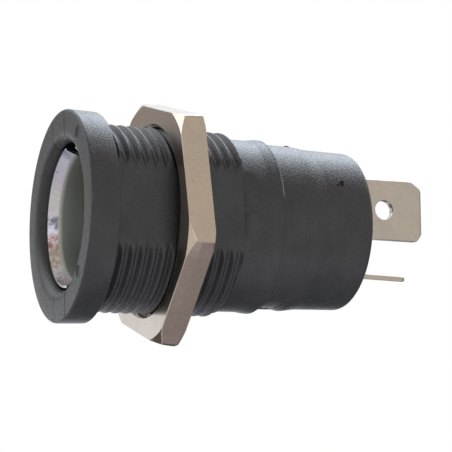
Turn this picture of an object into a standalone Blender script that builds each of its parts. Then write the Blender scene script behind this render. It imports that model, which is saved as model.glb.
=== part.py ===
"""Panel socket with a clamping nut, spring earth jaws and two blade terminals.

Units are metres.  +X runs along the socket from its mouth to its terminals, +Z is up.
The origin is on the socket axis, at the back face of the flange, where the panel sits.
All sizes below are in millimetres and are scaled by MM.
"""
import math

import bmesh
import bpy
from mathutils import Matrix, Vector

MM = 0.001

# flange and mouth
FLANGE_R = 10.2
FLANGE_FRONT_R = 10.12
FLANGE_T = 2.8
FACE_IN_R = 8.15
BORE_R = 7.0
MOUTH_DEPTH = 1.1

# M18 x 1 thread with two flats
THREAD_R = 9.0
THREAD_CORE_R = 8.39
THREAD_PITCH = 1.0
THREAD_X0 = 0.55
THREAD_X1 = 12.55
THREAD_STEPS = 24
RELIEF = 0.12
FLAT_HALF = 7.7

# plain barrel behind the thread
BARREL_X = 13.0
BARREL_R = 8.52
STEP_X = 16.75
STEP_R = 8.25
TAPER_X0 = 20.4
TAPER_X1 = 21.7
TAIL_R = 8.0
REAR_X = 26.6
REAR_R = 7.9
REAR_BORE_R = 6.6
SHOULDER_X = 17.0

# snap windows and key slots, top and bottom
WINDOW_X = (17.4, 19.8)
WINDOW_HALF_Y = 2.0
KEY_HALF_Y = 1.85
KEY_R = 7.25

# two small blind holes in the flange face: (y, z)
PIN_HOLES = ((-6.0, 6.7), (-5.95, -6.3))
PIN_HOLE_R = 0.55
PIN_HOLE_DEPTH = 0.9

# hex nut
NUT_AF = 21.8
NUT_X0 = 5.95
NUT_T = 2.5
NUT_BORE_R = 9.12
NUT_TURN = 18.9
NUT_CHAMFER_R = 11.62
NUT_CHAMFER_DEPTH = 0.48

# spring earth jaws
JAW_R_IN = 6.02
JAW_R_OUT = 6.45
LIP_X = -1.93
LIP_R_IN = 6.56
LIP_R_OUT = 6.8
JAW_END_X = 13.3
JAW_T = 0.4
JAW_NEAR_ARC = 135.0
JAW_FAR_ARC = 172.0
HINGE_X = 13.1
HINGE_Y = 6.2

# insulating carrier and what it holds
CARRIER_X0 = 14.4
CARRIER_X1 = 20.2
CARRIER_FLANGE_R = 6.85
CARRIER_R = 6.45
RIVET_Y = 4.9
RIVET_R = 0.7
RIVET_HEAD_R = 1.05

# earth plate and its blade; each blade is turned a little about the axis
EARTH_TILT = 11.0
BLADE_W = 6.3
BLADE_T = 0.8
PLATE_X0 = 13.6
PLATE_R = 6.55
PLATE_HOLE_R = 3.6
EARTH_W = 4.8
EARTH_T = 0.5
EARTH_Z = -4.35
EARTH_TIP_X = 33.35
EARTH_HOLE_R = 0.7
EARTH_HOLE_FROM_TIP = 3.3

# centre contact and its blade
LIVE_TILT = 2.5
TULIP_X0 = 8.5
TULIP_X1 = 14.2
TULIP_R_IN = 2.3
TULIP_R_OUT = 2.85
SHANK_R = 2.0
SHANK_X1 = 23.0
LIVE_Z = 2.5
LIVE_TIP_X = 35.95
BLADE_HOLE_R = 1.0
BLADE_HOLE_FROM_TIP = 4.35

ROUND_STEPS = 48


def clear_scene():
    for ob in list(bpy.data.objects):
        bpy.data.objects.remove(ob, do_unlink=True)


def collection(name):
    col = bpy.data.collections.new(name)
    bpy.context.scene.collection.children.link(col)
    return col


def material(name, colour, roughness, metallic):
    mat = bpy.data.materials.new(name)
    mat.use_nodes = True
    shader = mat.node_tree.nodes["Principled BSDF"]
    shader.inputs["Base Color"].default_value = (*colour, 1.0)
    shader.inputs["Roughness"].default_value = roughness
    shader.inputs["Metallic"].default_value = metallic
    return mat


def finish(ob, name, col, mat=None):
    ob.name = name
    ob.data.name = name
    for other in list(ob.users_collection):
        other.objects.unlink(ob)
    col.objects.link(ob)
    if mat is None:
        ob.hide_render = True
        ob.display_type = "WIRE"
    else:
        ob.data.materials.append(mat)
        ob.data.shade_smooth()
        ob.data.set_sharp_from_angle(angle=math.radians(32))
    return ob


def mesh_object(bm, origin=(0, 0, 0)):
    """Wraps a bmesh given in millimetres, with the object's origin at the given point."""
    bmesh.ops.translate(bm, verts=bm.verts, vec=-Vector(origin))
    bmesh.ops.scale(bm, verts=bm.verts, vec=(MM, MM, MM))
    bmesh.ops.recalc_face_normals(bm, faces=bm.faces)
    me = bpy.data.meshes.new("mesh")
    bm.to_mesh(me)
    bm.free()
    ob = bpy.data.objects.new("ob", me)
    ob.location = Vector(origin) * MM
    return ob


def turned(profile, steps=ROUND_STEPS):
    """A closed (x, radius) outline turned about X.  It runs along its outer side from high x to low x."""
    me = bpy.data.meshes.new("turned")
    verts = [(r * MM, 0.0, x * MM) for x, r in profile]
    n = len(verts)
    me.from_pydata(verts, [(i, (i + 1) % n) for i in range(n)], [])
    ob = bpy.data.objects.new("turned", me)
    ob.rotation_euler = (0.0, math.pi / 2, 0.0)
    mod = ob.modifiers.new("turn", "SCREW")
    mod.axis = "Z"
    mod.angle = 2 * math.pi
    mod.steps = steps
    mod.render_steps = steps
    mod.use_merge_vertices = True
    mod.merge_threshold = 0.00001
    return ob


def box(lo, hi, tilt=0.0):
    """A box between two corners, turned by tilt degrees about the socket axis."""
    bm = bmesh.new()
    bmesh.ops.create_cube(bm, size=1.0)
    size = Vector(hi) - Vector(lo)
    mid = (Vector(hi) + Vector(lo)) / 2
    bmesh.ops.scale(bm, verts=bm.verts, vec=size)
    bmesh.ops.translate(bm, verts=bm.verts, vec=mid)
    bmesh.ops.rotate(bm, verts=bm.verts, matrix=Matrix.Rotation(math.radians(tilt), 3, "X"))
    return mesh_object(bm)


def rod(radius, start, end, steps=20):
    """A cylinder between two points."""
    a = Vector(start)
    b = Vector(end)
    bm = bmesh.new()
    bmesh.ops.create_cone(
        bm, cap_ends=True, segments=steps, radius1=radius, radius2=radius, depth=(b - a).length
    )
    turn = (b - a).to_track_quat("Z", "Y").to_matrix()
    bmesh.ops.rotate(bm, verts=bm.verts, matrix=turn)
    bmesh.ops.translate(bm, verts=bm.verts, vec=(a + b) / 2)
    return mesh_object(bm)


def tilted(y, z, tilt):
    """A point of the blade frame in the socket's own y and z."""
    a = math.radians(tilt)
    return (y * math.cos(a) - z * math.sin(a), y * math.sin(a) + z * math.cos(a))


def boolean(ob, tool, name, operation="DIFFERENCE"):
    finish(tool, name, CUTTERS)
    mod = ob.modifiers.new(name, "BOOLEAN")
    mod.operation = operation
    mod.solver = "EXACT"
    mod.object = tool


def thread_ridge():
    """One V-shaped tooth swept along the helix, sunk into the core so that it joins it."""
    bm = bmesh.new()
    half = 0.46
    crest = 0.09
    root = THREAD_CORE_R - 0.12
    outline = ((-half, root), (-crest, THREAD_R), (crest, THREAD_R), (half, root))
    start = math.radians(2.3)
    y = math.sin(start)
    z = math.cos(start)
    verts = [bm.verts.new((THREAD_X0 + x, r * y, r * z)) for x, r in outline]
    face = bm.faces.new(verts)
    turns = (THREAD_X1 - THREAD_X0) / THREAD_PITCH
    steps = int(round(turns * THREAD_STEPS))
    pitch_step = THREAD_PITCH / THREAD_STEPS
    bmesh.ops.spin(
        bm,
        geom=[face] + list(face.edges) + list(face.verts),
        cent=(0, 0, 0),
        axis=(1, 0, 0),
        dvec=(pitch_step, 0, 0),
        angle=steps * 2 * math.pi / THREAD_STEPS,
        steps=steps,
        use_duplicate=False,
    )
    return mesh_object(bm)


def housing():
    profile = (
        (REAR_X, REAR_BORE_R), (REAR_X, 7.0), (REAR_X - 0.14, 7.45), (REAR_X - 0.45, 7.75),
        (REAR_X - 0.95, REAR_R), (TAPER_X1, TAIL_R), (TAPER_X0, STEP_R - 0.12),
        (STEP_X + 0.3, STEP_R), (STEP_X, BARREL_R - 0.05), (BARREL_X + 0.1, BARREL_R),
        (BARREL_X, BARREL_R - 0.06), (BARREL_X, THREAD_CORE_R), (-RELIEF, THREAD_CORE_R),
        (-RELIEF, THREAD_R + 0.1), (0.0, THREAD_R + 0.2), (0.0, FLANGE_R - 0.15), (-0.15, FLANGE_R), (0.2 - FLANGE_T, FLANGE_FRONT_R),
        (-FLANGE_T, FLANGE_FRONT_R - 0.2), (-FLANGE_T, FACE_IN_R), (0.08 - FLANGE_T, 7.75),
        (0.35 - FLANGE_T, 7.35), (0.7 - FLANGE_T, 7.1), (MOUTH_DEPTH - FLANGE_T, BORE_R),
        (SHOULDER_X, BORE_R), (SHOULDER_X, REAR_BORE_R),
    )
    ob = turned(profile)
    boolean(ob, thread_ridge(), "thread_tooth", "UNION")
    for side in (-1, 1):
        tag = "near" if side < 0 else "far"
        y0, y1 = sorted((side * FLAT_HALF, side * 9.6))
        boolean(ob, box((-0.05, y0, -6.0), (BARREL_X - 0.02, y1, 6.0)), "flat_" + tag)
    for side in (-1, 1):
        tag = "low" if side < 0 else "top"
        z0, z1 = sorted((side * 6.2, side * 9.2))
        window = box((WINDOW_X[0], -WINDOW_HALF_Y, z0), (WINDOW_X[1], WINDOW_HALF_Y, z1))
        boolean(ob, window, "window_" + tag)
        z0, z1 = sorted((side * 6.0, side * KEY_R))
        key = box((-4.0, -KEY_HALF_Y, z0), (SHOULDER_X, KEY_HALF_Y, z1))
        boolean(ob, key, "keyway_" + tag)
    for i, (y, z) in enumerate(PIN_HOLES):
        hole = rod(PIN_HOLE_R, (-FLANGE_T - 1.0, y, z), (PIN_HOLE_DEPTH - FLANGE_T, y, z), 12)
        boolean(ob, hole, f"pin_hole_{i}")
    mat = material("black_plastic", (0.035, 0.035, 0.037), 0.45, 0.0)
    return finish(ob, "housing", PARTS, mat)


def hex_nut():
    corner_r = NUT_AF / 2 / math.cos(math.pi / 6)
    mid = NUT_X0 + NUT_T / 2
    bm = bmesh.new()
    bmesh.ops.create_cone(
        bm, cap_ends=True, segments=6, radius1=corner_r, radius2=corner_r, depth=NUT_T
    )
    bmesh.ops.rotate(bm, verts=bm.verts, matrix=Matrix.Rotation(math.pi / 2, 3, "Y"))
    bm.verts.ensure_lookup_table()
    v = bm.verts[0].co
    turn = math.radians(180 + NUT_TURN) - math.atan2(v.z, v.y)
    bmesh.ops.rotate(bm, verts=bm.verts, matrix=Matrix.Rotation(turn, 3, "X"))
    bmesh.ops.translate(bm, verts=bm.verts, vec=(mid, 0, 0))
    ob = mesh_object(bm, (mid, 0, 0))
    x0 = NUT_X0
    x1 = NUT_X0 + NUT_T
    envelope = turned((
        (x1, 9.6), (x1, corner_r - 0.3), (x1 - 0.15, corner_r + 0.05),
        (x0 + NUT_CHAMFER_DEPTH, corner_r + 0.05), (x0, NUT_CHAMFER_R), (x0, 9.6),
        (x0, 8.0), (x1, 8.0),
    ))
    boolean(ob, envelope, "nut_chamfer", "INTERSECT")
    r = NUT_BORE_R
    bore = turned((
        (x1 + 1, 4.0), (x1 + 1, r + 1.4), (x1, r + 0.4), (x1 - 0.4, r), (x0 + 0.4, r),
        (x0, r + 0.4), (x0 - 1, r + 1.4), (x0 - 1, 4.0),
    ))
    boolean(ob, bore, "nut_bore")
    return finish(ob, "hex_nut", PARTS, material("nickel_nut", (0.55, 0.50, 0.45), 0.32, 1.0))


def jaw(name, side, arc):
    """A part-round spring shell with a flared lip and a foot bent in at its rear end."""
    origin = (HINGE_X, side * HINGE_Y, 0.0)
    outline = (
        (LIP_X, LIP_R_IN), (-1.35, 6.3), (-0.68, JAW_R_IN + 0.04), (0.4, JAW_R_IN),
        (JAW_END_X, JAW_R_IN), (JAW_END_X, JAW_R_OUT), (-0.3, JAW_R_OUT), (-1.1, 6.56),
        (LIP_X + 0.12, LIP_R_OUT),
    )
    start = 180 if side < 0 else 0
    a0 = math.radians(start - arc / 2)
    bm = bmesh.new()
    verts = [bm.verts.new((x, r * math.cos(a0), r * math.sin(a0))) for x, r in outline]
    face = bm.faces.new(verts)
    bmesh.ops.spin(
        bm,
        geom=[face] + list(face.edges) + list(face.verts),
        cent=(0, 0, 0),
        axis=(1, 0, 0),
        angle=math.radians(arc),
        steps=int(arc // 7),
        use_duplicate=False,
    )
    ob = mesh_object(bm, origin)
    y0, y1 = sorted((side * 3.9, side * 6.05))
    foot = box((JAW_END_X - JAW_T, y0, -2.0), (JAW_END_X, y1, 2.0))
    boolean(ob, foot, name + "_foot", "UNION")
    hole = rod(RIVET_R + 0.1, (12.0, side * RIVET_Y, 0), (14.0, side * RIVET_Y, 0))
    boolean(ob, hole, name + "_hole")
    return finish(ob, name, PARTS, material(name + "_metal", (0.62, 0.60, 0.58), 0.25, 1.0))


def earth_terminal():
    """The round earth plate, its rear blade bent square from the plate's lower edge."""
    x0 = PLATE_X0
    x1 = PLATE_X0 + EARTH_T
    z0 = EARTH_Z - EARTH_T / 2
    z1 = EARTH_Z + EARTH_T / 2
    ob = turned((
        (x1, PLATE_HOLE_R), (x1, PLATE_R), (x0, PLATE_R), (x0, PLATE_HOLE_R),
    ))
    boolean(ob, box((x0 - 1, -8, -9), (x1 + 1, 8, z0 + 0.1), EARTH_TILT), "plate_trim")
    blade = from_outline((
        (x0 + 0.1, z0), (EARTH_TIP_X - 0.8, z0), (EARTH_TIP_X, EARTH_Z - 0.08),
        (EARTH_TIP_X, EARTH_Z + 0.08), (EARTH_TIP_X - 0.8, z1), (x0 + 0.1, z1),
    ), EARTH_W / 2, EARTH_TILT)
    boolean(ob, blade, "earth_blade", "UNION")
    for side in (-1, 1):
        hole = rod(RIVET_R + 0.1, (x0 - 1, side * RIVET_Y, 0), (x1 + 1, side * RIVET_Y, 0))
        boolean(ob, hole, f"plate_hole_{side + 1}")
    y, z = tilted(0, z0 - 2, EARTH_TILT)
    y2, z2 = tilted(0, z1 + 2, EARTH_TILT)
    hole_x = EARTH_TIP_X - EARTH_HOLE_FROM_TIP
    boolean(ob, rod(EARTH_HOLE_R, (hole_x, y, z), (hole_x, y2, z2)), "earth_blade_hole")
    mat = material("tinned_plate", (0.60, 0.56, 0.50), 0.3, 1.0)
    return finish(ob, "earth_terminal", PARTS, mat)


def rivet(name, side):
    """A headed rivet through the jaw's foot, the plate and the carrier's flange."""
    r = RIVET_R
    h = RIVET_HEAD_R
    ob = turned((
        (17.75, 0.25), (17.7, 0.7), (17.5, h), (17.2, h), (17.2, r), (12.75, r), (12.75, h),
        (12.5, h), (12.25, 0.7), (12.2, 0.25), (13.6, 0.25), (13.6, 0.24), (16.4, 0.24),
        (16.4, 0.25),
    ), 16)
    ob.location = (0, side * RIVET_Y * MM, 0)
    return finish(ob, name, PARTS, material(name + "_steel", (0.62, 0.60, 0.57), 0.35, 1.0))


def carrier():
    """The insulating block that stops against the housing's shoulder and snaps into its windows."""
    x0 = CARRIER_X0
    x1 = CARRIER_X1
    ob = turned((
        (x1, SHANK_R + 0.1), (x1, CARRIER_R - 0.3), (x1 - 0.3, CARRIER_R),
        (SHOULDER_X - 0.1, CARRIER_R), (SHOULDER_X - 0.1, CARRIER_FLANGE_R),
        (x0, CARRIER_FLANGE_R), (x0, SHANK_R + 0.1),
    ))
    for side in (-1, 1):
        tag = "low" if side < 0 else "top"
        z0, z1 = sorted((side * 6.0, side * (KEY_R - 0.1)))
        key = box((x0, 0.15 - KEY_HALF_Y, z0), (SHOULDER_X - 0.1, KEY_HALF_Y - 0.15, z1))
        boolean(ob, key, "carrier_key_" + tag, "UNION")
        boolean(ob, snap_barb(side), "carrier_barb_" + tag, "UNION")
    for side in (-1, 1):
        y = side * RIVET_Y
        boolean(ob, rod(RIVET_R + 0.1, (x0 - 1, y, 0), (x1 + 1, y, 0), 16), f"rivet_way_{side + 1}")
        boolean(ob, rod(RIVET_HEAD_R + 0.25, (17.0, y, 0), (x1 + 1, y, 0), 16), f"head_way_{side + 1}")
    slot = box(
        (x0 - 1, -EARTH_W / 2 - 0.15, EARTH_Z - 0.4), (x1 + 1, EARTH_W / 2 + 0.15, EARTH_Z + 0.4),
        EARTH_TILT,
    )
    boolean(ob, slot, "carrier_slot")
    return finish(ob, "carrier", PARTS, material("carrier_plastic", (0.05, 0.05, 0.05), 0.5, 0.0))


def snap_barb(side):
    """A barb, full height at the front and ramped down towards the rear."""
    z0, z1 = sorted((side * 6.2, side * 8.0))
    ob = box((17.6, -1.75, z0), (19.6, 1.75, z1))
    for v in ob.data.vertices:
        if v.co.x > 19.0 * MM and abs(v.co.z) > 7.5 * MM:
            v.co.z = side * 7.7 * MM
    return ob


def insulator_bush():
    """The bush that keeps the centre contact off the earth plate."""
    ob = turned((
        (14.2, 2.95), (14.2, 3.4), (12.6, 3.4), (12.4, 3.2), (12.4, 2.95),
    ), 32)
    return finish(ob, "insulator_bush", PARTS, material("bush_plastic", (0.55, 0.5, 0.4), 0.5, 0.0))


def tulip():
    """The split centre contact on its solid shank, slotted at the rear for the blade's tongue."""
    ob = turned((
        (SHANK_X1, 0.3), (SHANK_X1, SHANK_R - 0.2), (SHANK_X1 - 0.2, SHANK_R), (TULIP_X1, SHANK_R),
        (TULIP_X1, TULIP_R_OUT), (9.4, TULIP_R_OUT), (TULIP_X0, TULIP_R_OUT + 0.15),
        (TULIP_X0, TULIP_R_OUT - 0.1), (9.2, TULIP_R_IN), (12.7, TULIP_R_IN), (12.7, 0.3),
    ), 32)
    boolean(ob, box((8.0, -0.25, -4), (12.4, 0.25, 4), LIVE_TILT), "tulip_split_a")
    boolean(ob, box((8.0, -4, -0.25), (12.4, 4, 0.25), LIVE_TILT), "tulip_split_b")
    boolean(ob, box((21.1, -0.47, -4), (24.0, 0.47, 4), LIVE_TILT), "shank_slot")
    return finish(ob, "centre_contact", PARTS, material("contact_brass", (0.75, 0.55, 0.25), 0.3, 1.0))


def tulip_ring():
    """The open spring ring that holds the fingers in."""
    ob = turned((
        (10.6, 2.95), (10.6, 3.2), (9.7, 3.2), (9.7, 2.95),
    ), 32)
    boolean(ob, box((9.0, -0.4, 2.0), (11.5, 0.4, 4.0), LIVE_TILT + 45), "ring_gap")
    return finish(ob, "finger_ring", PARTS, material("ring_steel", (0.6, 0.6, 0.6), 0.3, 1.0))


def star_washer():
    """The push-on washer that holds the shank in the carrier."""
    r = SHANK_R + 0.06
    ob = turned(((20.85, r), (20.85, 3.8), (20.5, 3.8), (20.5, r)), 32)
    for i in range(6):
        tilt = LIVE_TILT + 15 + 60 * i
        boolean(ob, box((20.0, -0.3, 1.5), (21.5, 0.3, 3.1), tilt), f"washer_slot_{i}")
    return finish(ob, "star_washer", PARTS, material("washer_steel", (0.6, 0.6, 0.6), 0.35, 1.0))


def from_outline(outline, half, tilt):
    """A flat outline of (x, z) points in the blade frame, thickened by half to each side across it."""
    curve = bpy.data.curves.new("outline", "CURVE")
    curve.dimensions = "2D"
    curve.fill_mode = "BOTH"
    curve.extrude = half * MM
    spline = curve.splines.new("POLY")
    spline.points.add(len(outline) - 1)
    for point, (x, z) in zip(spline.points, outline):
        point.co = (x * MM, z * MM, 0.0, 1.0)
    spline.use_cyclic_u = True
    flat = bpy.data.objects.new("outline", curve)
    bpy.context.scene.collection.objects.link(flat)
    flat.rotation_euler = (math.pi / 2 + math.radians(tilt), 0, 0)
    bpy.context.view_layer.update()
    deps = bpy.context.evaluated_depsgraph_get()
    me = bpy.data.meshes.new_from_object(flat.evaluated_get(deps))
    bm = bmesh.new()
    bm.from_mesh(me)
    bmesh.ops.remove_doubles(bm, verts=bm.verts, dist=0.000001)
    bm.to_mesh(me)
    bm.free()
    ob = bpy.data.objects.new("outline", me)
    ob.matrix_world = flat.matrix_world
    bpy.data.objects.remove(flat, do_unlink=True)
    return ob


def live_terminal():
    """The centre contact's blade, upright, with a tongue in the shank's slot."""
    z0 = LIVE_Z - BLADE_W / 2
    z1 = LIVE_Z + BLADE_W / 2
    ob = from_outline((
        (21.3, -1.5), (23.3, -1.5), (23.3, z0), (LIVE_TIP_X - 0.85, z0), (LIVE_TIP_X, z0 + 0.65),
        (LIVE_TIP_X, z1 - 1.0), (LIVE_TIP_X - 1.3, z1), (23.3, z1), (23.3, 1.5), (21.3, 1.5),
    ), BLADE_T / 2, LIVE_TILT)
    y, z = tilted(-2, LIVE_Z, LIVE_TILT)
    y2, z2 = tilted(2, LIVE_Z, LIVE_TILT)
    hole_x = LIVE_TIP_X - BLADE_HOLE_FROM_TIP
    boolean(ob, rod(BLADE_HOLE_R, (hole_x, y, z), (hole_x, y2, z2), 24), "live_blade_hole")
    return finish(ob, "live_terminal", PARTS, material("tinned_brass", (0.60, 0.56, 0.50), 0.3, 1.0))


def rear_cover():
    """The cap that closes the barrel behind the carrier and guides the two blades."""
    ob = turned((
        (26.0, 0.5), (26.0, 6.25), (25.8, 6.45), (20.5, 6.45), (20.5, 5.9), (24.4, 5.9),
        (24.4, 0.5),
    ))
    live = box((20.0, -0.55, LIVE_Z - 3.3), (27.0, 0.55, LIVE_Z + 3.3), LIVE_TILT)
    boolean(ob, live, "cover_live_slot")
    half = EARTH_W / 2 + 0.15
    earth = box((20.0, -half, EARTH_Z - 0.4), (27.0, half, EARTH_Z + 0.4), EARTH_TILT)
    boolean(ob, earth, "cover_earth_slot")
    return finish(ob, "rear_cover", PARTS, material("cover_plastic", (0.04, 0.04, 0.04), 0.5, 0.0))


clear_scene()
PARTS = collection("panel_socket")
CUTTERS = collection("cutters")
housing()
hex_nut()
jaw("earth_jaw_far", 1, JAW_FAR_ARC)
jaw("earth_jaw_near", -1, JAW_NEAR_ARC)
earth_terminal()
rivet("rivet_far", 1)
rivet("rivet_near", -1)
carrier()
insulator_bush()
tulip()
tulip_ring()
star_washer()
live_terminal()
rear_cover()
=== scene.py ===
"""Looks of the panel power socket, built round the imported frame.

The frame is in metres. Shapes are written in millimetres and scaled by MM as each mesh is made.
+X runs from the socket's mouth to its blades, and the origin is on the axis, at the flange's back
face. Angles about the axis start at +Y and grow towards +Z.
"""
import math

import bmesh
import bpy
import numpy as np
from mathutils import Matrix, Vector


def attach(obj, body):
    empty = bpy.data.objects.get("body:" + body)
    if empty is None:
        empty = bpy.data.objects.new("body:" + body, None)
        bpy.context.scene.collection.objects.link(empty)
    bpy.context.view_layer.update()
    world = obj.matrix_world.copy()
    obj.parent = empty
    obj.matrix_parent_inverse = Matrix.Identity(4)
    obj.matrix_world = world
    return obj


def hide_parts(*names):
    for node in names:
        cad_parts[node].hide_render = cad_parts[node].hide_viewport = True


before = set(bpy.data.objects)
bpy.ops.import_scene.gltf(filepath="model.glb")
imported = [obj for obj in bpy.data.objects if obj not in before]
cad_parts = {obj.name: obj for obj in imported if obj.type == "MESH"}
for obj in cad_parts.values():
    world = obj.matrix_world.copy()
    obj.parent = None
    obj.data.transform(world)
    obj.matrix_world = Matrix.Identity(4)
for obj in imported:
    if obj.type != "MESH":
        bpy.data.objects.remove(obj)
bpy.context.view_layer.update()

MM = 0.001
COLUMNS = 192  # facets round the housing
NUT_COLUMNS = 120  # facets round the nut's thread
PLAIN_COLUMNS = 96  # facets round the hidden turned pieces
MERGE = 1e-4  # points closer than this become one
FLAT_AREA = 0.12 * MM * MM  # larger faces of a flat-sided piece are shaded flat

# housing: flange and bell mouth
FLANGE_R = 10.2
FLANGE_T = 2.8
BORE_R = 7.0
MOUTH_END = -1.7
MOUTH_DEPTH = 1.1
MOUTH_WIDTH = 1.15
FACE_IN_R = BORE_R + MOUTH_WIDTH

# housing: thread with two flats, and the barrel behind it
CREST_R = 9.0
CORE_R = 8.5
RUN_OUT_R = 8.46
FLAT_Y = 7.7
RELIEF_X = -0.12
THREAD_X = (RELIEF_X, 13.0)
SHOULDER_X = 17.0
REAR_X = 26.62
REAR_BORE_R = 6.6

# housing: keyways, windows, blind holes (y, z) and pits (x, angle in degrees, radius)
KEY_HALF = 1.85
KEY_IN_R = 6.0
KEY_R = 7.25
KEY_X0 = -1.95
WINDOW_X = (17.5, 19.4)
WINDOW_HALF = 1.85
WINDOW_Z = (6.2, 9.2)
PIN_HOLES = ((-6.0, 6.7), (-5.95, -6.3))
PIN_HOLE_R = 0.6
PIN_HOLE_DEPTH = 1.4
PIN_RIM_R = (0.78, 0.58)
PITS = ((23.45, 156.2, 0.27), (23.12, 157.2, 0.2), (23.6, 154.0, 0.19))
PIT_R = (7.72, 8.6)

# nut
NUT_X = (5.95, 8.45)
NUT_AF = 21.8
NUT_TURN = math.radians(180 + 18.9)
NUT_FILLETS = (0.22, 0.5, 0.8, 0.8, 0.9, 0.5)
NUT_CHAMFER_R = 11.62
NUT_CHAMFER_SLOPE = 0.68
NUT_REAR_CHAMFER_R = 12.25
NUT_WEAR = 0.34
NUT_BORE_R = 9.13
NUT_RIM_R = (9.36, 9.40)
NUT_FACE_R = 10.3
NUT_LEAD = 0.35
NUT_THREAD_DEPTH = 0.22

# jaws and the rivet holes that line up behind them
JAW_R = (6.02, 6.45)
JAW_MID_R = 6.235
JAW_END_X = 13.3
FOOT_T = 0.4
RIVET_Y = 4.9
RIVET_HOLE_R = 0.8
RIVET_HEAD_HOLE_R = 1.3

# blades, earth plate and carrier
EARTH_TILT = math.radians(11.0)
LIVE_TILT = math.radians(2.5)
LIVE_Z = 2.5
LIVE_TIP = 35.95
LIVE_HALF_WIDTH = 3.1
EARTH_Z = -4.27
EARTH_TIP = 33.35
EARTH_HALF_WIDTH = 2.4
BLADE_ROOT_X = 26.4
PLATE_X = (13.6, 14.1)
PLATE_R = (3.6, 6.5)
CARRIER_X = (14.4, 20.2)
CARRIER_STOP_X = 16.9
CARRIER_R = (2.1, 6.4, 6.85)


# ---------------------------------------------------------------- mesh helpers

def clean(bm):
    """Joins doubled points, drops slivers and turns every face outwards."""
    bmesh.ops.remove_doubles(bm, verts=bm.verts, dist=MERGE)
    bmesh.ops.dissolve_degenerate(bm, edges=bm.edges, dist=MERGE)
    bmesh.ops.recalc_face_normals(bm, faces=bm.faces)


def linked(name, data):
    """A new object in the scene."""
    ob = bpy.data.objects.new(name, data)
    bpy.context.scene.collection.objects.link(ob)
    return ob


def raw_object(name, bm):
    """Turns a bmesh in millimetres into a mesh object in metres."""
    bmesh.ops.scale(bm, verts=bm.verts, vec=(MM, MM, MM))
    me = bpy.data.meshes.new(name)
    bm.to_mesh(me)
    bm.free()
    return linked(name, me)


def dress(ob, body, mat, nodes=(), smooth=32.0, flat=False):
    """Gives a mesh its material and shading and its body, and hides the CAD nodes it replaces."""
    ob.data.materials.clear()
    ob.data.materials.append(mat)
    ob.data.shade_smooth()
    ob.data.set_sharp_from_angle(angle=math.radians(smooth))
    if flat:
        for face in ob.data.polygons:
            if face.area > FLAT_AREA:
                face.use_smooth = False
        mod = ob.modifiers.new("flat_faces", "WEIGHTED_NORMAL")
        mod.keep_sharp = True
        mod.weight = 90
    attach(ob, body)
    if nodes:
        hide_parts(*nodes)


def add_piece(name, bm, body, mat, nodes=(), smooth=32.0, flat=False):
    """Turns a bmesh in millimetres into a finished piece that rides on a body."""
    clean(bm)
    dress(raw_object(name, bm), body, mat, nodes, smooth, flat)


def final_mesh(ob):
    """The mesh that an object's modifiers or curve settings give."""
    bpy.context.view_layer.update()
    deps = bpy.context.evaluated_depsgraph_get()
    return bpy.data.meshes.new_from_object(ob.evaluated_get(deps))


def apply_modifiers(ob):
    """Replaces a mesh object's mesh by what its modifiers make of it."""
    me = final_mesh(ob)
    old = ob.data
    ob.modifiers.clear()
    ob.data = me
    bpy.data.meshes.remove(old)


def cut(ob, bm, operation="DIFFERENCE"):
    """Applies one Boolean to a mesh object.

    Some overlapping cutters make the solver lose the object, so those get a call each.
    """
    bmesh.ops.recalc_face_normals(bm, faces=bm.faces)
    tool = raw_object("cutter", bm)
    mod = ob.modifiers.new("cut", "BOOLEAN")
    mod.operation = operation
    mod.solver = "EXACT"
    mod.object = tool
    apply_modifiers(ob)
    bpy.data.objects.remove(tool, do_unlink=True)


def bevel(ob, width):
    """Rounds the sharp edges of a mesh object."""
    mod = ob.modifiers.new("edge", "BEVEL")
    mod.width = width * MM
    mod.segments = 2
    mod.limit_method = "ANGLE"
    mod.angle_limit = math.radians(35.0)
    mod.miter_outer = "MITER_ARC"
    apply_modifiers(ob)


# ---------------------------------------------------------------- shapes

def round_angles(count):
    """Evenly spaced angles for one turn about the axis."""
    return np.arange(count) * 2 * math.pi / count


def span(side, low, high):
    """The stretch from low to high on one side of zero, in rising order."""
    return sorted((side * low, side * high))


def curve_point(start, bend, end, t):
    """A point on the curve that leaves start and reaches end along the lines through bend."""
    return start * (1 - t) ** 2 + bend * 2 * t * (1 - t) + end * t ** 2


def rounded(points, steps):
    """A polyline of (x, r, fillet radius), with each corner rounded in a number of steps."""
    out = []
    for i, (x, r, fillet) in enumerate(points):
        if fillet <= 0 or i in (0, len(points) - 1):
            out.append((x, r))
            continue
        corner = Vector((x, r))
        back = Vector(points[i - 1][:2]) - corner
        ahead = Vector(points[i + 1][:2]) - corner
        half = back.angle(ahead) / 2
        reach = min(fillet / math.tan(half), 0.48 * back.length, 0.48 * ahead.length)
        start = corner + back.normalized() * reach
        end = corner + ahead.normalized() * reach
        for k in range(steps + 1):
            q = curve_point(start, corner, end, k / steps)
            out.append((q.x, q.y))
    return out


def ring(x, r, angles, clip=0.0):
    """Points round the axis, with y held within clip of the axis where a clip is given."""
    y = r * np.cos(angles)
    z = r * np.sin(angles)
    if clip:
        y = np.clip(y, -clip, clip)
    return np.stack([np.broadcast_to(x, y.shape), y, z], axis=1)


def join_rings(bm, rings, closed=False):
    """Quads between successive rings of equal length, and from the last to the first if closed."""
    rows = [[bm.verts.new(p) for p in points] for points in rings]
    if closed:
        rows.append(rows[0])
    n = len(rows[0])
    for a, b in zip(rows, rows[1:]):
        for j in range(n):
            k = (j + 1) % n
            bm.faces.new((a[j], b[j], b[k], a[k]))


def turned_bm(bm, profile, steps):
    """A closed profile of (x, r, fillet radius) turned about the axis."""
    angles = round_angles(PLAIN_COLUMNS)
    rings = [ring(x, r, angles) for x, r in rounded(profile, steps)[:-1]]
    join_rings(bm, rings, closed=True)


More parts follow.
